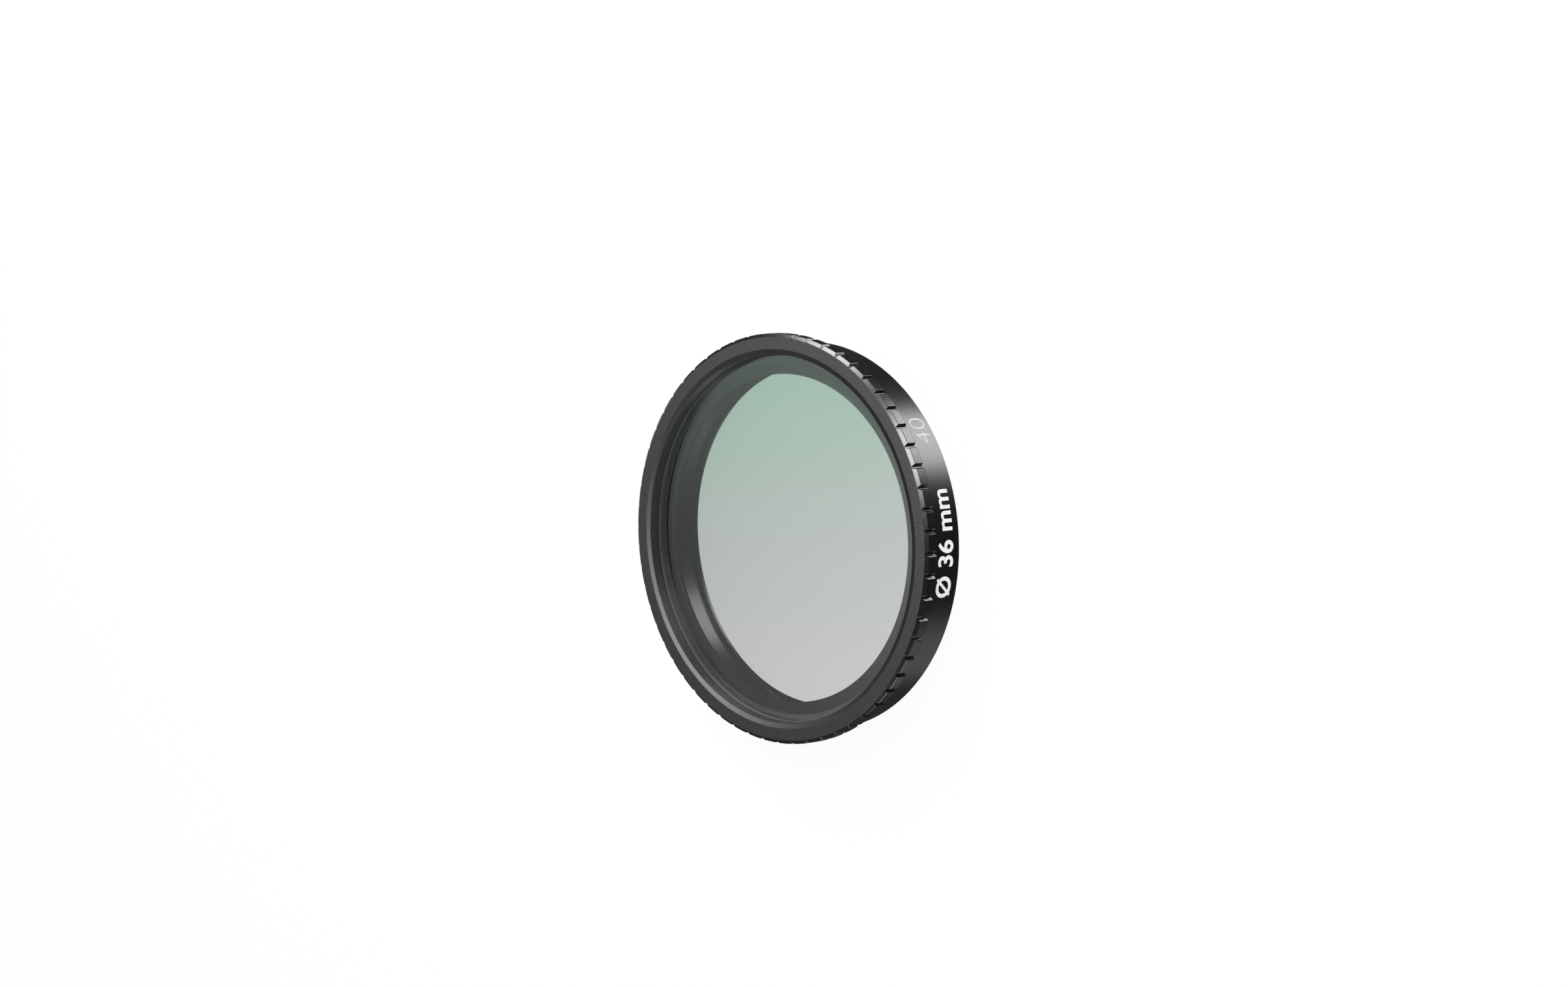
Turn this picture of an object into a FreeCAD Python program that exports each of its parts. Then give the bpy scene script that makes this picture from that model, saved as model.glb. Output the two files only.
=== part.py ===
"""Round UV filter that pushes onto a lens barrel: turned ring, coated glass and its retaining ring.

Millimetres. The filter lies on its rear face at Z = 0, its axis is Z, and its front face looks up.
"""
import FreeCAD
import Part
import Sketcher
import os

# Driving dimensions. Every diameter follows from the flange inwards, wall by wall.
SIZES = [
    ("flange_diameter", 40.0, "across the tops of the grip teeth"),
    ("flange_thickness", 1.38, "front face to the step behind the teeth"),
    ("flange_chamfer_width", 0.34, "outer chamfer of the front face, across the face"),
    ("flange_chamfer_depth", 0.28, "outer chamfer of the front face, along the axis"),
    ("flange_step", 0.975, "how far the flange stands out from the plain body"),
    ("ring_depth", 5.72, "front face to rear face"),
    ("rear_chamfer", 0.24, "outer edge of the rear face, both ways"),
    ("front_wall", 1.045, "plain body to the front bore that the glass drops into"),
    ("bevel_width", 0.5, "shallow bevel round the front bore, across the face"),
    ("bevel_depth", 0.11, "that bevel, along the axis"),
    ("glass_recess", 1.35, "front face to the front of the glass"),
    ("glass_thickness", 0.5, "filter glass"),
    ("glass_clearance", 0.02, "gap all round the glass in its bore"),
    ("glass_edge", 0.03, "ground chamfer on both rims of the glass"),
    ("seat_width", 1.98, "ledge that the glass lies on, from the bore to the clear opening"),
    ("seat_flare", 0.4, "how far the rear of that ledge opens out"),
    ("seat_thickness", 0.82, "glass seat to the floor of the rear socket"),
    ("socket_wall", 1.925, "plain body to the rear socket"),
    ("snap_lip_height", 0.42, "how far the snap lip stands into the mouth of the socket"),
    ("snap_lip_thickness", 0.38, "rear face to the inner side of the snap lip"),
    ("keeper_thickness", 0.12, "retaining ring, along the axis"),
    ("keeper_width", 0.42, "retaining ring, across its section"),
    ("keeper_proud", 0.12, "how far the retaining ring stands out of the bore wall"),
    ("keeper_edge", 0.08, "chamfer on the inner front edge of the retaining ring"),
    ("keeper_split", 1.2, "gap between the ends of the retaining ring"),
    ("groove_clearance", 0.02, "room round the retaining ring in its groove"),
    ("notch_count", 60, "grip notches round the flange"),
    ("notch_width", 0.56, "grip notch at the tops of the teeth"),
    ("notch_floor_width", 0.14, "grip notch at its floor"),
    ("notch_depth", 0.32, "grip notch below the tops of the teeth"),
    ("cutter_overrun", 0.2, "how far each cutter starts outside the metal"),
]

# Radii and heights that follow from the driving dimensions
FLANGE_RADIUS = "size.flange_diameter / 2"
BODY_RADIUS = FLANGE_RADIUS + " - size.flange_step"
BORE_RADIUS = BODY_RADIUS + " - size.front_wall"
APERTURE_RADIUS = BORE_RADIUS + " - size.seat_width"
SOCKET_RADIUS = BODY_RADIUS + " - size.socket_wall"
SNAP_LIP_RADIUS = SOCKET_RADIUS + " - size.snap_lip_height"
FLANGE_REAR = "size.ring_depth - size.flange_thickness"
GLASS_FRONT = "size.ring_depth - size.glass_recess"
GLASS_BACK = GLASS_FRONT + " - size.glass_thickness"
SOCKET_FLOOR = GLASS_BACK + " - size.seat_thickness"
KEEPER_INNER = BORE_RADIUS + " - size.keeper_proud"
KEEPER_OUTER = KEEPER_INNER + " + size.keeper_width"
KEEPER_FRONT = GLASS_FRONT + " + size.keeper_thickness"
GROOVE_RADIUS = KEEPER_OUTER + " + size.groove_clearance"
GROOVE_TOP = KEEPER_FRONT + " + size.groove_clearance"

# How a sketch numbers the ends of a line, and its own origin and axes
POINT = {"start": 1, "end": 2}
ORIGIN = {"geometry": -1, "point": 1}
AXIS = {"across": -1, "up": -2}

# Degrees
FULL_TURN = 360
HALF_TURN = 180

doc = FreeCAD.newDocument("uv_filter")


def write_sizes():
    """Put the driving dimensions in the sheet, one row each, with its alias and its meaning."""
    cells = doc.addObject("Spreadsheet::Sheet", "size")
    for row, (alias, value, meaning) in enumerate(SIZES, start=1):
        cells.set(f"A{row}", alias)
        cells.set(f"B{row}", str(value))
        cells.setAlias(f"B{row}", alias)
        cells.set(f"C{row}", meaning)
    doc.recompute()
    return cells


sheet = write_sizes()


def millimetres(expression):
    """The present value of a size expression."""
    return float(sheet.evalExpression(expression))


def new_body(name):
    """An empty body for one piece of the filter."""
    body = doc.addObject("PartDesign::Body", name)
    body.Label = name
    return body


def new_sketch(body, name, role, height="0"):
    """A sketch on one of the body's own origin planes, lifted off it by a size expression."""
    planes = {feature.Role: feature for feature in body.Origin.OriginFeatures}
    sketch = body.newObject("Sketcher::SketchObject", name)
    sketch.AttachmentSupport = [(planes[role], "")]
    sketch.MapMode = "FlatFace"
    sketch.setExpression("AttachmentOffset.Base.z", height)
    return sketch


def hold(sketch, geometry, point, across, along):
    """Tie a point of the sketch to the sketch origin with two size expressions."""
    for kind, axis, expression in (
        ("DistanceX", AXIS["up"], across),
        ("DistanceY", AXIS["across"], along),
    ):
        if expression == "0":
            sketch.addConstraint(Sketcher.Constraint("PointOnObject", geometry, point, axis))
            continue
        start = (ORIGIN["geometry"], ORIGIN["point"])
        distance = Sketcher.Constraint(kind, *start, geometry, point, millimetres(expression))
        index = sketch.addConstraint(distance)
        sketch.setExpression(f"Constraints[{index}]", expression)


def draw_outline(sketch, corners):
    """A closed outline of straight lines, each corner tied to the sizes."""
    points = [FreeCAD.Vector(millimetres(across), millimetres(along), 0) for across, along in corners]
    following = points[1:] + points[:1]
    for start, end in zip(points, following):
        sketch.addGeometry(Part.LineSegment(start, end), False)
    for line, (across, along) in enumerate(corners):
        previous = (line - 1) % len(corners)
        joint = Sketcher.Constraint("Coincident", previous, POINT["end"], line, POINT["start"])
        sketch.addConstraint(joint)
        hold(sketch, line, POINT["start"], across, along)


def turn(body, kind, name, sketch):
    """Turn a sketch once round the axis of the filter, to add or to remove metal."""
    feature = body.newObject(kind, name)
    feature.Profile = sketch
    feature.ReferenceAxis = (sketch, ["V_Axis"])
    feature.Angle = FULL_TURN
    return feature


def removes_metal(body, feature, before):
    """Stop if a cut has missed the metal."""
    doc.recompute()
    if body.Shape.Volume >= before:
        raise RuntimeError(f"{feature.Label} cuts nothing")
    return body.Shape.Volume


def make_frame_ring():
    """The turned ring: section, groove of the retaining ring, then the notches milled round the flange."""
    body = new_body("frame_ring")

    section = new_sketch(body, "ring_section", "XZ_Plane")
    draw_outline(section, [
        (SNAP_LIP_RADIUS, "0"),
        (BODY_RADIUS + " - size.rear_chamfer", "0"),
        (BODY_RADIUS, "size.rear_chamfer"),
        (BODY_RADIUS, FLANGE_REAR),
        (FLANGE_RADIUS, FLANGE_REAR),
        (FLANGE_RADIUS, "size.ring_depth - size.flange_chamfer_depth"),
        (FLANGE_RADIUS + " - size.flange_chamfer_width", "size.ring_depth"),
        (BORE_RADIUS + " + size.bevel_width", "size.ring_depth"),
        (BORE_RADIUS, "size.ring_depth - size.bevel_depth"),
        (BORE_RADIUS, GLASS_BACK),
        (APERTURE_RADIUS, GLASS_BACK),
        (APERTURE_RADIUS + " + size.seat_flare", SOCKET_FLOOR),
        (SOCKET_RADIUS, SOCKET_FLOOR),
        (SOCKET_RADIUS, "size.snap_lip_thickness"),
        (SNAP_LIP_RADIUS, "size.snap_lip_thickness"),
    ])
    turn(body, "PartDesign::Revolution", "turned_ring", section)
    doc.recompute()
    volume = body.Shape.Volume

    groove_section = new_sketch(body, "groove_section", "XZ_Plane")
    draw_outline(groove_section, [
        (BORE_RADIUS + " - size.cutter_overrun", GLASS_FRONT),
        (GROOVE_RADIUS, GLASS_FRONT),
        (GROOVE_RADIUS, GROOVE_TOP),
        (BORE_RADIUS + " - size.cutter_overrun", GROOVE_TOP),
    ])
    groove = turn(body, "PartDesign::Groove", "keeper_groove", groove_section)
    volume = removes_metal(body, groove, volume)

    notch_section = new_sketch(body, "notch_section", "XY_Plane", FLANGE_REAR)
    flank_slope = "(size.notch_width - size.notch_floor_width) / (2 * size.notch_depth)"
    half_floor = "size.notch_floor_width / 2"
    half_mouth = "(size.notch_width / 2 + size.cutter_overrun * " + flank_slope + ")"
    notch_floor = FLANGE_RADIUS + " - size.notch_depth"
    notch_mouth = FLANGE_RADIUS + " + size.cutter_overrun"
    draw_outline(notch_section, [
        (notch_floor, "-" + half_floor),
        (notch_mouth, "-" + half_mouth),
        (notch_mouth, half_mouth),
        (notch_floor, half_floor),
    ])
    notch = body.newObject("PartDesign::Pocket", "first_notch")
    notch.Profile = notch_section
    notch.Type = "ThroughAll"
    notch.Reversed = True
    volume = removes_metal(body, notch, volume)

    notches = body.newObject("PartDesign::PolarPattern", "grip_notches")
    notches.Originals = [notch]
    notches.Axis = (notch_section, ["N_Axis"])
    notches.Angle = FULL_TURN
    notches.setExpression("Occurrences", "size.notch_count")
    body.Tip = notches
    removes_metal(body, notches, volume)
    return body


def make_glass_disc():
    """The filter glass on its seat, with both rims ground."""
    body = new_body("glass_disc")
    disc_radius = BORE_RADIUS + " - size.glass_clearance"
    ground_radius = disc_radius + " - size.glass_edge"
    section = new_sketch(body, "glass_section", "XZ_Plane")
    draw_outline(section, [
        ("0", GLASS_BACK),
        (ground_radius, GLASS_BACK),
        (disc_radius, GLASS_BACK + " + size.glass_edge"),
        (disc_radius, GLASS_FRONT + " - size.glass_edge"),
        (ground_radius, GLASS_FRONT),
        ("0", GLASS_FRONT),
    ])
    turn(body, "PartDesign::Revolution", "ground_disc", section)
    return body


def make_retaining_ring():
    """The split flat ring, sprung into its groove on the front of the glass, with its gap towards +X."""
    body = new_body("retaining_ring")
    section = new_sketch(body, "keeper_section", "XZ_Plane")
    draw_outline(section, [
        (KEEPER_INNER, GLASS_FRONT),
        (KEEPER_OUTER, GLASS_FRONT),
        (KEEPER_OUTER, KEEPER_FRONT),
        (KEEPER_INNER + " + size.keeper_edge", KEEPER_FRONT),
        (KEEPER_INNER, KEEPER_FRONT + " - size.keeper_edge"),
    ])
    keeper = turn(body, "PartDesign::Revolution", "split_ring", section)
    keeper.Midplane = True
    split_angle = f"size.keeper_split / ({KEEPER_OUTER}) * {HALF_TURN} / pi"
    keeper.setExpression("Angle", f"{FULL_TURN} - {split_angle}")
    body.Placement.Rotation = FreeCAD.Rotation(FreeCAD.Vector(0, 0, 1), HALF_TURN)
    return body


def check_document(bodies):
    """Stop if a feature has failed or a piece has no sound solid."""
    for item in doc.Objects:
        if "Invalid" in item.State or "Error" in item.State:
            raise RuntimeError(f"{item.Label} failed: {item.State}")
    for body in bodies:
        if body.Shape.isNull() or not body.Shape.isValid() or len(body.Shape.Solids) != 1:
            raise RuntimeError(f"{body.Label} is not one sound solid")


def export(bodies):
    """Write each piece to a file named after it."""
    os.makedirs("parts", exist_ok=True)
    for body in bodies:
        body.Shape.exportStep(os.path.join("parts", body.Label + ".step"))


pieces = [make_frame_ring(), make_glass_disc(), make_retaining_ring()]
doc.recompute()
check_document(pieces)
export(pieces)
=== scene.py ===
"""Round UV filter lying on its rear face: black turned ring, coated glass, retaining ring, white print."""
import bmesh
import bpy
import math
import numpy as np
from mathutils import Matrix, Vector


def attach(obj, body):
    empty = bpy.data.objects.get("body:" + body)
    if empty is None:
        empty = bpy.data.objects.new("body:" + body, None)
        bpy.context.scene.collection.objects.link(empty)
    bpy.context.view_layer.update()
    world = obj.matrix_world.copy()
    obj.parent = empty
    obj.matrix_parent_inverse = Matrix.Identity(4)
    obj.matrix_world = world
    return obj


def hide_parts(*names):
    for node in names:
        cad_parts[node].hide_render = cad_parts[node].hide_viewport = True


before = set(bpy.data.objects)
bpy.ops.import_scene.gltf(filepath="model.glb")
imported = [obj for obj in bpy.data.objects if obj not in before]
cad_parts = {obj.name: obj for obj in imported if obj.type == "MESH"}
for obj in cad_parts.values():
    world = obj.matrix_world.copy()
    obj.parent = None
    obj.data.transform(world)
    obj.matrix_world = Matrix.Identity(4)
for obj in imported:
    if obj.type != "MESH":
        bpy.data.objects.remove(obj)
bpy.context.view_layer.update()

# Frame ring. Turned in one piece from aluminium bar, with sixty grip notches milled through its flange.
# The front face is blasted, and the whole ring is then anodised black. The bore comes out matt, and the
# corner of the glass seat is painted a shade lighter, as painted light against the bore wall's shadow. Every
# edge is broken by a few hundredths of a millimetre.
MM = 0.001
scene = bpy.context.scene
FLANGE_RADIUS = 20.0
NOTCH_COUNT = 60
NOTCH_DEPTH = 0.32
NOTCH_HALF_MOUTH = 0.28
NOTCH_HALF_FLOOR = 0.07
# how straight a flank runs between the rounds at its top and foot, how much of its slope the gloss shows
FLANK_STRAIGHTNESS = 0.7
FLANK_TURN = 0.65
# degrees from the middle of a notch to each row of points, up to the middle of the tooth beside it
NOTCH_DEGREES = [0.0, 0.1, 0.19, 0.26, 0.38, 0.52, 0.66, 0.75, 0.82, 0.92, 1.15, 1.7, 2.3]
TOOTH_MIDDLE = 3.0
SLOPE_STEP = 0.03
# a surface that faces outwards by more than this is one that the notches cut
OUTWARD_FACING = 0.3
HAIR = 1e-6
CHAMFER_STEPS = 6
# a wide edge is rounded in steps, and none takes more than its share of a short side
EDGE = 0.035
FLANGE_REAR_EDGE = 0.1
TOOTH_EDGE = 0.04
BORE_EDGE = 0.015
ROUNDED_FROM = 0.05
ROUND_STEPS = 3
MOST_CUT = 0.3

# radius, height above the rear face, how far the corner is broken, finish of the surface from it to the next
RING_CORNERS = [
    (16.68, 0.0, EDGE, "turned"),
    (18.785, 0.0, EDGE, "turned"),
    (19.025, 0.24, EDGE, "turned"),
    (19.025, 4.34, EDGE, "turned"),
    (20.0, 4.34, FLANGE_REAR_EDGE, "turned"),
    (20.0, 5.44, TOOTH_EDGE, "chamfer"),
    (19.66, 5.72, EDGE, "blasted"),
    (18.48, 5.72, EDGE, "turned"),
    (17.98, 5.61, BORE_EDGE, "matt"),
    (17.98, 4.51, EDGE, "matt"),
    (18.30, 4.51, EDGE, "matt"),
    (18.30, 4.37, EDGE, "matt"),
    (17.98, 4.37, EDGE, "matt"),
    (17.98, 3.85, EDGE, "corner"),
    (17.3, 3.85, EDGE, "seat"),
    (16.0, 3.85, EDGE, "socket"),
    (16.4, 3.05, EDGE, "socket"),
    (17.10, 3.05, EDGE, "socket"),
    (17.10, 0.38, EDGE, "socket"),
    (16.68, 0.38, EDGE, "socket"),
]


def broken_section(corners):
    """The section with its corners broken a little: points, the way the surface faces at each, finishes."""
    points = []
    facings = []
    finishes = []
    for index, (radius, height, edge, finish) in enumerate(corners):
        here = np.array([radius, height])
        before = np.array(corners[index - 1][:2])
        after = np.array(corners[(index + 1) % len(corners)][:2])
        back_length = np.linalg.norm(before - here)
        ahead_length = np.linalg.norm(after - here)
        back = (before - here) / back_length
        ahead = (after - here) / ahead_length
        cut = min(edge, MOST_CUT * back_length, MOST_CUT * ahead_length)
        steps = ROUND_STEPS if edge > ROUNDED_FROM else 1
        for step in range(steps + 1):
            share = step / steps
            points.append(here + (1 - share) ** 2 * cut * back + share ** 2 * cut * ahead)
            facing = (1 - share) * np.array([-back[1], back[0]]) + share * np.array([ahead[1], -ahead[0]])
            facings.append(facing / np.linalg.norm(facing))
            finishes.append(finish if step == steps else corners[index - 1][3])
        if finish == "chamfer":
            stop = after - ahead * edge
            for step in range(1, CHAMFER_STEPS):
                points.append(points[-1] + (stop - points[-1]) / (CHAMFER_STEPS + 1 - step))
                facings.append(facings[-1])
                finishes.append("chamfer")
    return np.array(points), np.array(facings), finishes


def notch_reach(angle):
    """How far out the metal reaches at an angle in degrees from the middle of a notch."""
    across = np.abs(np.radians(angle)) * FLANGE_RADIUS
    share = np.clip((NOTCH_HALF_MOUTH - across) / (NOTCH_HALF_MOUTH - NOTCH_HALF_FLOOR), 0, 1)
    rounded = share * share * (3 - 2 * share)
    return FLANGE_RADIUS - NOTCH_DEPTH * (FLANK_STRAIGHTNESS * share + (1 - FLANK_STRAIGHTNESS) * rounded)


def grip_angles():
    """Angles round the ring, close together across each notch, how far the metal reaches there, slopes."""
    offsets = np.array([-degree for degree in NOTCH_DEGREES[:0:-1]] + NOTCH_DEGREES + [TOOTH_MIDDLE])
    middles = np.arange(NOTCH_COUNT) * 360.0 / NOTCH_COUNT
    degrees = (middles[:, None] + offsets[None, :]).ravel()
    rise = notch_reach(offsets + SLOPE_STEP) - notch_reach(offsets - SLOPE_STEP)
    slope = rise / np.radians(2 * SLOPE_STEP)
    return np.radians(degrees), np.tile(notch_reach(offsets), NOTCH_COUNT), np.tile(slope, NOTCH_COUNT)


def lathe(name, points, facings, finishes, materials):
    """Turn the section once round the axis, with the notches taken off whatever reaches out into them."""
    angles, limits, slopes = grip_angles()
    cosines = np.cos(angles)[:, None]
    sines = np.sin(angles)[:, None]
    radii = np.minimum(points[None, :, 0], limits[:, None])
    heights = np.broadcast_to(points[None, :, 1], radii.shape)
    xyz = np.stack([radii * cosines, radii * sines, heights], axis=-1) * MM
    outwards = np.broadcast_to(facings[None, :, 0], radii.shape).copy()
    upwards = np.broadcast_to(facings[None, :, 1], radii.shape).copy()
    sideways = np.zeros(radii.shape)
    notched = (points[None, :, 0] > limits[:, None] + HAIR) & (facings[None, :, 0] > OUTWARD_FACING)
    steepness = np.broadcast_to((slopes / limits)[:, None], radii.shape)
    outwards[notched] = 1.0
    upwards[notched] = 0.0
    sideways[notched] = -FLANK_TURN * steepness[notched]
    along_x = outwards * cosines - sideways * sines
    along_y = outwards * sines + sideways * cosines
    normals = np.stack([along_x, along_y, upwards], axis=-1)
    normals /= np.linalg.norm(normals, axis=-1, keepdims=True)
    rows, columns = radii.shape
    row, column = np.meshgrid(np.arange(rows), np.arange(columns), indexing="ij")
    next_row = (row + 1) % rows
    next_column = (column + 1) % columns
    quads = np.stack([row * columns + column, next_row * columns + column,
                      next_row * columns + next_column, row * columns + next_column], axis=-1).reshape(-1, 4)
    mesh = bpy.data.meshes.new(name)
    mesh.from_pydata(xyz.reshape(-1, 3).tolist(), [], quads.tolist())
    for material in materials.values():
        mesh.materials.append(material)
    order = list(materials)
    slots = np.array([order.index("turned" if finish == "chamfer" else finish) for finish in finishes])
    mesh.polygons.foreach_set("material_index", np.tile(slots, rows))
    mesh.polygons.foreach_set("use_smooth", np.ones(len(mesh.polygons), bool))
    mesh.normals_split_custom_set_from_vertices(normals.reshape(-1, 3).tolist())
    piece = bpy.data.objects.new(name, mesh)
    scene.collection.objects.link(piece)
    return piece


def new_material(name):
    """A new node material with its shader, the maker of further nodes and the maker of links."""
    material = bpy.data.materials.new(name)
    material.use_nodes = True
    tree = material.node_tree
    shader = tree.nodes["Principled BSDF"]

    def node(kind, **settings):
        made = tree.nodes.new("ShaderNode" + kind)
        for key, value in settings.items():
            setattr(made, key, value)
        return made

    return material, shader, node, tree.links.new


def spread(node, link, value, before, after):
    """A value carried from one range over to another."""
    made = node("MapRange")
    made.inputs["From Min"].default_value = before[0]
    made.inputs["From Max"].default_value = before[1]
    made.inputs["To Min"].default_value = after[0]
    made.inputs["To Max"].default_value = after[1]
    link(value, made.inputs["Value"])
    return made.outputs["Result"]


def shaded(node, link, value, stops):
    """A colour read off a row of stops, each given by its place and its colour."""
    made = node("ValToRGB")
    row = made.color_ramp.elements
    for index, (place, colour) in enumerate(stops):
        stop = row[index] if index < 2 else row.new(place)
        stop.position = place
        stop.color = (*colour, 1)
    link(value, made.inputs["Fac"])
    return made.outputs["Color"]


# the part of the noise over which the skin goes from darkest and smoothest to palest and roughest
SKIN_SPAN = (0.3, 0.7)
SKIN_DETAIL = 3.0


def anodised(name, low, high, roughness, shine, grain, grain_height):
    """Black dye in a fine oxide skin, whose grain shifts the shade and gloss and roughens the surface."""
    material, shader, node, link = new_material(name)
    place = node("TexCoord")
    skin = node("TexNoise")
    skin.inputs["Scale"].default_value = grain
    skin.inputs["Detail"].default_value = SKIN_DETAIL
    link(place.outputs["Object"], skin.inputs["Vector"])
    height = skin.outputs["Fac"]
    stops = list(zip(SKIN_SPAN, (low, high)))
    link(shaded(node, link, height, stops), shader.inputs["Base Color"])
    link(spread(node, link, height, SKIN_SPAN, roughness), shader.inputs["Roughness"])
    relief = node("Bump")
    relief.inputs["Strength"].default_value = 1.0
    relief.inputs["Distance"].default_value = grain_height * MM
    link(height, relief.inputs["Height"])
    link(relief.outputs["Normal"], shader.inputs["Normal"])
    shader.inputs["Specular IOR Level"].default_value = shine
    return material


ring_finishes = {
    "turned": anodised(
        "turned_black", (0.003, 0.003, 0.0031), (0.006, 0.006, 0.0063),
        roughness=(0.27, 0.31), shine=1.0, grain=5200, grain_height=0.001),
    "blasted": anodised(
        "blasted_black", (0.0005, 0.0005, 0.0005), (0.007, 0.007, 0.0073),
        roughness=(0.41, 0.49), shine=0.84, grain=4600, grain_height=0.018),
    "matt": anodised(
        "matt_black", (0.025, 0.025, 0.026), (0.04, 0.04, 0.041),
        roughness=(0.34, 0.38), shine=0.4, grain=6000, grain_height=0.001),
    # painted light: the outer corner of the glass seat is coloured lighter to lift the shadow that the bore
    # wall casts on it
    "corner": anodised(
        "corner_painted_light", (0.074, 0.064, 0.069), (0.097, 0.083, 0.089),
        roughness=(0.34, 0.38), shine=0.5, grain=6000, grain_height=0.001),
    "seat": anodised(
        "seat_black", (0.006, 0.006, 0.0062), (0.012, 0.012, 0.0124),
        roughness=(0.33, 0.37), shine=0.85, grain=5200, grain_height=0.002),
    "socket": anodised(
        "socket_black", (0.01, 0.01, 0.0102), (0.018, 0.018, 0.0184),
        roughness=(0.27, 0.31), shine=1.0, grain=5200, grain_height=0.0006),
}
frame_ring = lathe("ring_turned", *broken_section(RING_CORNERS), ring_finishes)
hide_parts("frame_ring")
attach(frame_ring, "root")

# Filter glass. A flat polished disc half a millimetre thick, dropped onto the seat in the front bore.
# Its coating is a faint green. The grey and green tint that deepens to one side and clears towards the other
# is partly that coating and partly painted reflection, and the glass is painted darker towards -X and
# lighter towards +X as painted shade. The coating mirrors most where it is thickest. The rim is ground, so
# it is dark grey and lets no light through.
GLASS_RADIUS = 17.96
GROUND_FROM = 17.82
GROUND_GREY = (0.05, 0.048, 0.048)
GROUND_ROUGHNESS = 0.6
POLISHED_ROUGHNESS = 0.02
GLASS_IOR = 1.5
COATING_IOR = 2.2
COATING_ROUGHNESS = 0.02
# share of the way across the disc, colour that the glass lets through there: partly coating tint, partly
# painted reflection
TINTS_AND_PAINTED_REFLECTION = [
    (0.10, (0.43, 0.63, 0.52)),
    (0.27, (0.476, 0.611, 0.538)),
    (0.45, (0.544, 0.600, 0.566)),
    (0.63, (0.572, 0.606, 0.584)),
    (0.89, (0.622, 0.618, 0.622)),
]
# painted shade: how much the glass colour is scaled at its -X and +X sides, darker at -X and lighter at +X
PAINTED_SHADE_ACROSS_X = (0.852, 1.075)
# the way that the coating thickens, the radii at which it does, and its share of the full gloss at both
COATING_WAY = (0.643, 0.766, 0)
COATING_SPAN = (-0.65, 0.9)
COATING_SHARE = (0.12, 1.0)
# what lamps keep of their light at each face
LAMP_TINT = (0.82, 0.87, 0.84)
# a colour mix node's sockets
MIX_SHARE = 0
MIX_FIRST = 6
MIX_SECOND = 7
MIX_RESULT = 2


def coated_glass():
    """Clear glass with a tint across the disc, partly its coating and partly painted reflection, and painted
    shade from -X to +X. Lamps shine through it unbent.
    """
    material, shader, node, link = new_material("coated_glass")
    radius = GLASS_RADIUS * MM
    place = node("TexCoord")
    axes = node("SeparateXYZ")
    link(place.outputs["Object"], axes.inputs["Vector"])

    level = node("VectorMath", operation="MULTIPLY")
    level.inputs[1].default_value = (1, 1, 0)
    link(place.outputs["Object"], level.inputs[0])
    from_axis = node("VectorMath", operation="LENGTH")
    link(level.outputs["Vector"], from_axis.inputs[0])
    inside_rim = node("Math", operation="LESS_THAN")
    inside_rim.inputs[1].default_value = GROUND_FROM * MM
    link(from_axis.outputs["Value"], inside_rim.inputs[0])
    polished = inside_rim.outputs["Value"]

    # painted reflection and shade: the tint ramp across Y and the darkening towards -X are painted into the
    # base colour
    across = spread(node, link, axes.outputs["Y"], (radius, -radius), (0, 1))
    tinted_and_shaded = node("VectorMath", operation="SCALE")
    link(shaded(node, link, across, TINTS_AND_PAINTED_REFLECTION), tinted_and_shaded.inputs["Vector"])
    link(spread(node, link, axes.outputs["X"], (-radius, radius), PAINTED_SHADE_ACROSS_X), tinted_and_shaded.inputs["Scale"])
    face_or_rim = node("Mix", data_type="RGBA")
    face_or_rim.inputs[MIX_FIRST].default_value = (*GROUND_GREY, 1)
    link(polished, face_or_rim.inputs[MIX_SHARE])
    link(tinted_and_shaded.outputs["Vector"], face_or_rim.inputs[MIX_SECOND])
    link(face_or_rim.outputs[MIX_RESULT], shader.inputs["Base Color"])
    link(polished, shader.inputs["Transmission Weight"])
    roughness = spread(node, link, polished, (0, 1), (GROUND_ROUGHNESS, POLISHED_ROUGHNESS))
    link(roughness, shader.inputs["Roughness"])
    shader.inputs["IOR"].default_value = GLASS_IOR

    aslant = node("VectorMath", operation="DOT_PRODUCT")
    aslant.inputs[1].default_value = COATING_WAY
    link(place.outputs["Object"], aslant.inputs[0])
    coating_ends = [share * radius for share in COATING_SPAN]
    coat = node("Math", operation="MULTIPLY")
    link(spread(node, link, aslant.outputs["Value"], coating_ends, COATING_SHARE), coat.inputs[0])
    link(polished, coat.inputs[1])
    link(coat.outputs["Value"], shader.inputs["Coat Weight"])
    shader.inputs["Coat Roughness"].default_value = COATING_ROUGHNESS
    shader.inputs["Coat IOR"].default_value = COATING_IOR

    path = node("LightPath")
    open_way = node("BsdfTransparent")
    open_way.inputs["Color"].default_value = (*LAMP_TINT, 1)
    either = node("MixShader")
    link(path.outputs["Is Shadow Ray"], either.inputs["Fac"])
    link(shader.outputs["BSDF"], either.inputs[1])
    link(open_way.outputs["BSDF"], either.inputs[2])
    link(either.outputs["Shader"], material.node_tree.nodes["Material Output"].inputs["Surface"])
    return material


glass_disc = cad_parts["glass_disc"]
glass_disc.data.materials.clear()
glass_disc.data.materials.append(coated_glass())

# Retaining ring. A flat split ring of blackened spring steel, sprung into the groove just above the glass.
# Only its inner edge stands out of the bore wall, as a thin grey line round the glass.
retaining_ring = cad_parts["retaining_ring"]
retaining_ring.data.materials.clear()
retaining_ring.data.materials.append(anodised(
    "blackened_spring", (0.045, 0.045, 0.045), (0.06, 0.06, 0.06),
    roughness=(0.4, 0.5), shine=0.3, grain=6000, grain_height=0.001))

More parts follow.
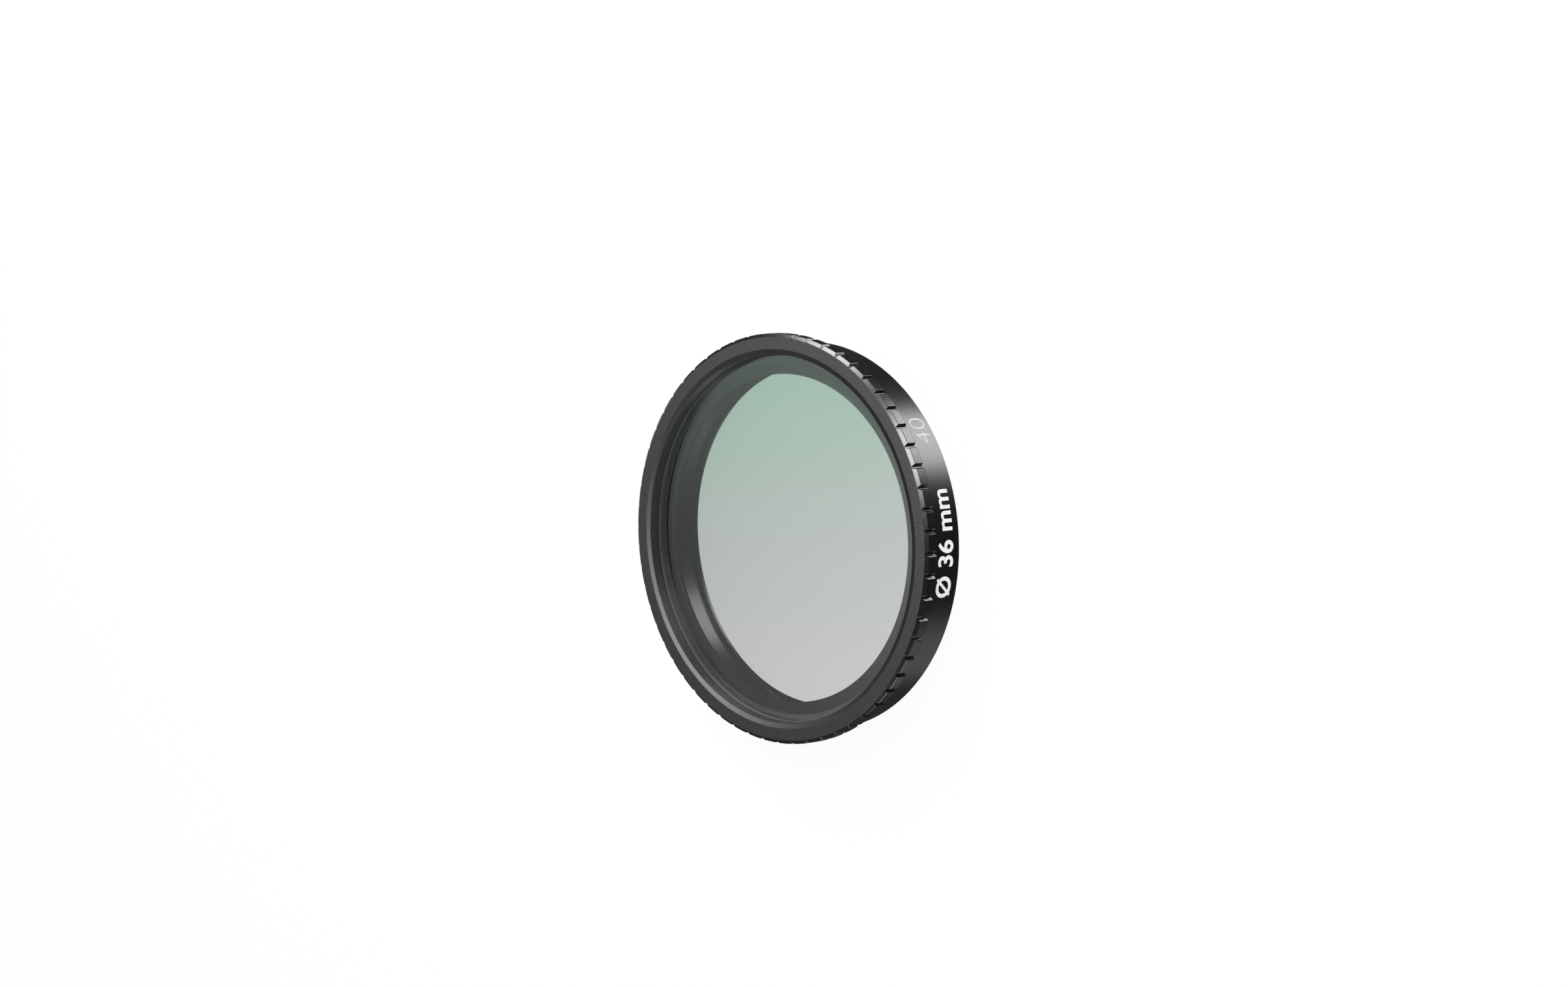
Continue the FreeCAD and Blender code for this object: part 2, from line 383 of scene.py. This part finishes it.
# White print. Screen printed on the plain body: the bore's size in bold and the flange's beside it, thin.
# The ink lies about a hundredth of a millimetre thick, and the figures stand with their tops to the front.
BODY_RADIUS = 19.025
INK_BOTTOM = -0.004
INK_TOP = 0.012
INK_STEP = 0.3
INK_ROUGHNESS = 0.6
SCREEN_SCALE = 4200
SCREEN_DETAIL = 4.0
SCREEN_SPAN = (0.25, 0.6)
TYPE_DEPTH = 0.5
TYPE_CURVE_STEPS = 6


def printing_ink(name, low, high):
    """Matt ink, with the slightly uneven cover of a screen."""
    material, shader, node, link = new_material(name)
    place = node("TexCoord")
    cover = node("TexNoise")
    cover.inputs["Scale"].default_value = SCREEN_SCALE
    cover.inputs["Detail"].default_value = SCREEN_DETAIL
    link(place.outputs["Object"], cover.inputs["Vector"])
    stops = list(zip(SCREEN_SPAN, (low, high)))
    link(shaded(node, link, cover.outputs["Fac"], stops), shader.inputs["Base Color"])
    shader.inputs["Roughness"].default_value = INK_ROUGHNESS
    return material


def print_on_body(name, words, degrees, foot, cap_height, thicken, ink):
    """Set the words as flat type, stretch them over the given arc, and bend them round the body."""
    type_curve = bpy.data.curves.new(name, "FONT")
    type_curve.body = words
    type_curve.extrude = TYPE_DEPTH
    type_curve.offset = thicken
    type_curve.resolution_u = TYPE_CURVE_STEPS
    setting = bpy.data.objects.new(name + "_type", type_curve)
    scene.collection.objects.link(setting)
    bpy.context.view_layer.update()
    flat = bpy.data.meshes.new_from_object(setting.evaluated_get(bpy.context.evaluated_depsgraph_get()))
    bpy.data.objects.remove(setting)
    shape = bmesh.new()
    shape.from_mesh(flat)
    low = Vector([min(v.co[i] for v in shape.verts) for i in range(3)])
    high = Vector([max(v.co[i] for v in shape.verts) for i in range(3)])
    first = math.radians(degrees[0])
    arc = math.radians(degrees[1] - degrees[0]) * BODY_RADIUS
    for v in shape.verts:
        v.co.x = (v.co.x - low.x) / (high.x - low.x) * arc
        v.co.y = foot + (v.co.y - low.y) / (high.y - low.y) * cap_height
    cuts = int(arc / INK_STEP)
    for cut in range(1, cuts):
        bmesh.ops.bisect_plane(shape, geom=shape.verts[:] + shape.edges[:] + shape.faces[:],
                               plane_co=(arc * cut / cuts, 0, 0), plane_no=(1, 0, 0))
    for v in shape.verts:
        angle = first + v.co.x / BODY_RADIUS
        radius = BODY_RADIUS + (INK_TOP if v.co.z > 0 else INK_BOTTOM)
        v.co = Vector((radius * math.cos(angle), radius * math.sin(angle), v.co.y)) * MM
    bmesh.ops.triangulate(shape, faces=shape.faces[:])
    bmesh.ops.recalc_face_normals(shape, faces=shape.faces[:])
    shape.to_mesh(flat)
    shape.free()
    flat.materials.clear()
    flat.materials.append(ink)
    piece = bpy.data.objects.new(name, flat)
    scene.collection.objects.link(piece)
    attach(piece, "root")


white_ink = printing_ink("white_ink", (0.72, 0.72, 0.72), (0.9, 0.9, 0.9))
thin_ink = printing_ink("thin_ink", (0.42, 0.42, 0.42), (0.58, 0.58, 0.58))
print_on_body(
    "size_mark", "Ø 36 mm", (-19.6, 11.6), foot=1.04, cap_height=2.11, thicken=0.022, ink=white_ink)
print_on_body(
    "outer_mark", "40", (25.4, 34.2), foot=0.79, cap_height=1.99, thicken=-0.014, ink=thin_ink)

# Table. Plain white and very wide, a hair below the rear face. It takes the faint shadow of the filter and
# shows white through the glass. The gloss of the ring looks past it, and the lamps below shine through it.
TABLE_REACH = 6.0
TABLE_TOP = -0.02 * MM
TABLE_WHITE = (0.85, 0.85, 0.85, 1)
TABLE_ROUGHNESS = 0.9
TABLE_GLOW = 0.95
table_mesh = bpy.data.meshes.new("table")
table_mesh.from_pydata(
    [(-TABLE_REACH, -TABLE_REACH, TABLE_TOP), (TABLE_REACH, -TABLE_REACH, TABLE_TOP),
     (TABLE_REACH, TABLE_REACH, TABLE_TOP), (-TABLE_REACH, TABLE_REACH, TABLE_TOP)], [], [(0, 1, 2, 3)])
table = bpy.data.objects.new("table", table_mesh)
scene.collection.objects.link(table)
table_white, table_shader, table_node, table_link = new_material("table_white")
table_shader.inputs["Base Color"].default_value = TABLE_WHITE
table_shader.inputs["Roughness"].default_value = TABLE_ROUGHNESS
seen = table_node("LightPath")
seen_or_mirrored = table_node("Math", operation="ADD", use_clamp=True)
table_link(seen.outputs["Is Camera Ray"], seen_or_mirrored.inputs[0])
table_link(seen.outputs["Is Glossy Ray"], seen_or_mirrored.inputs[1])
seen_any_way = table_node("Math", operation="ADD", use_clamp=True)
table_link(seen_or_mirrored.outputs["Value"], seen_any_way.inputs[0])
table_link(seen.outputs["Is Transmission Ray"], seen_any_way.inputs[1])
glow_share = table_node("Math", operation="MULTIPLY")
table_link(seen_any_way.outputs["Value"], glow_share.inputs[0])
glow_share.inputs[1].default_value = TABLE_GLOW
glow = table_node("Emission")
glow.inputs["Strength"].default_value = 1.0
blend = table_node("MixShader")
table_link(glow_share.outputs["Value"], blend.inputs["Fac"])
table_link(table_shader.outputs["BSDF"], blend.inputs[1])
table_link(glow.outputs["Emission"], blend.inputs[2])
table_link(blend.outputs["Shader"], table_white.node_tree.nodes["Material Output"].inputs["Surface"])
table_mesh.materials.append(table_white)
table.visible_glossy = False
table.visible_shadow = False

# Studio light. Large soft boxes above the table light the front, a near one and a dim one hang over the far
# side for the bevel and the glass, and a low one grazes the ring. Those under the table and behind it light
# the sides of the ring. The room is darker on the camera's side.

# name, direction from the filter, distance in metres, width and height per metre of it, brightness
SOFT_BOXES = [
    ("camera_side_box", (0.434, 0.439, 0.783), 0.4, (0.46, 0.46), 12.0),
    ("top_side_box", (-0.221, 0.846, 0.482), 0.4, (0.46, 0.46), 11.2),
    ("far_box", (-0.44, 0.185, 0.88), 0.22, (0.38, 0.38), 5.35),
    ("glass_box", (-0.72, 0.0, 0.69), 0.4, (0.44, 0.36), 0.3),
    ("low_side_box", (-0.375, -0.6, 0.707), 0.4, (0.36, 0.36), 2.8),
    ("low_box", (0.256, -0.9565, 0.139), 0.4, (0.5, 0.3), 13.5),
    ("under_box", (0.437, 0.559, -0.705), 0.4, (0.46, 0.46), 5.6),
    ("under_fill_box", (0.17, -0.69, -0.705), 0.4, (0.5, 0.5), 0.5),
    ("back_box", (-0.985, 0.1, -0.1), 0.4, (0.4, 0.2), 4.0),
]
ROOM_SPAN = (-0.6, 0.6)
ROOM_LEVELS = (0.06, 0.03)

for box_name, towards, distance, (width, height), brightness in SOFT_BOXES:
    light = bpy.data.lights.new(box_name, "AREA")
    light.shape = "RECTANGLE"
    light.size = width * distance
    light.size_y = height * distance
    light.energy = brightness * math.pi * light.size * light.size_y
    lamp = bpy.data.objects.new(box_name, light)
    direction = Vector(towards).normalized()
    lamp.location = direction * distance
    lamp.rotation_euler = direction.to_track_quat("Z", "Y").to_euler()
    scene.collection.objects.link(lamp)

room = bpy.data.worlds.new("room")
room.use_nodes = True
scene.world = room
room_nodes = room.node_tree.nodes
room_link = room.node_tree.links.new
room_place = room_nodes.new("ShaderNodeTexCoord")
room_axes = room_nodes.new("ShaderNodeSeparateXYZ")
room_link(room_place.outputs["Generated"], room_axes.inputs["Vector"])
room_level = room_nodes.new("ShaderNodeMapRange")
room_level.inputs["From Min"].default_value = ROOM_SPAN[0]
room_level.inputs["From Max"].default_value = ROOM_SPAN[1]
room_level.inputs["To Min"].default_value = ROOM_LEVELS[0]
room_level.inputs["To Max"].default_value = ROOM_LEVELS[1]
room_link(room_axes.outputs["X"], room_level.inputs["Value"])
room_link(room_level.outputs["Result"], room_nodes["Background"].inputs["Strength"])
room_nodes["Background"].inputs["Color"].default_value = (1, 1, 1, 1)

# Camera. Looks at the filter from the front and one side, a third of a metre away and about 45 degrees up.
# It is turned over so that the ring seems to stand on its edge, with the print at its right.
FLANGE_PIXELS = 632.423
PIXEL = 2 * FLANGE_RADIUS * MM / FLANGE_PIXELS
PICTURE_WIDTH = 2408
SENSOR_WIDTH = 36.0
CLIP_START = 0.005
VIEW_DISTANCE = 5200.944 * PIXEL
VIEW_SWING = 0.7884466
VIEW_ROLL = 0.0858106
VIEW_TURN = math.radians(1.0)
AIM_RIGHT = -13.06 * PIXEL
AIM_UP = -70.41 * PIXEL
FRONT_CENTRE = Vector((0, 0, 5.72 * MM))
forward = Vector((-math.sin(VIEW_SWING), 0, -math.cos(VIEW_SWING)))
aside = Vector((math.cos(VIEW_SWING), 0, -math.sin(VIEW_SWING)))
upward = Vector((0, 1, 0))
picture_right = math.cos(VIEW_ROLL) * aside - math.sin(VIEW_ROLL) * upward
picture_up = math.sin(VIEW_ROLL) * aside + math.cos(VIEW_ROLL) * upward
view_from = FRONT_CENTRE - picture_right * AIM_RIGHT - picture_up * AIM_UP - forward * VIEW_DISTANCE
view_axes = Matrix((picture_right, picture_up, -forward)).transposed().to_4x4()
camera_data = bpy.data.cameras.new("camera")
camera_data.sensor_width = SENSOR_WIDTH
camera_data.lens = SENSOR_WIDTH * VIEW_DISTANCE / (PICTURE_WIDTH * PIXEL)
camera_data.clip_start = CLIP_START
camera = bpy.data.objects.new("camera", camera_data)
camera.matrix_world = Matrix.Rotation(VIEW_TURN, 4, "Z") @ Matrix.Translation(view_from) @ view_axes
scene.collection.objects.link(camera)
scene.camera = camera
scene.view_settings.view_transform = "Standard"
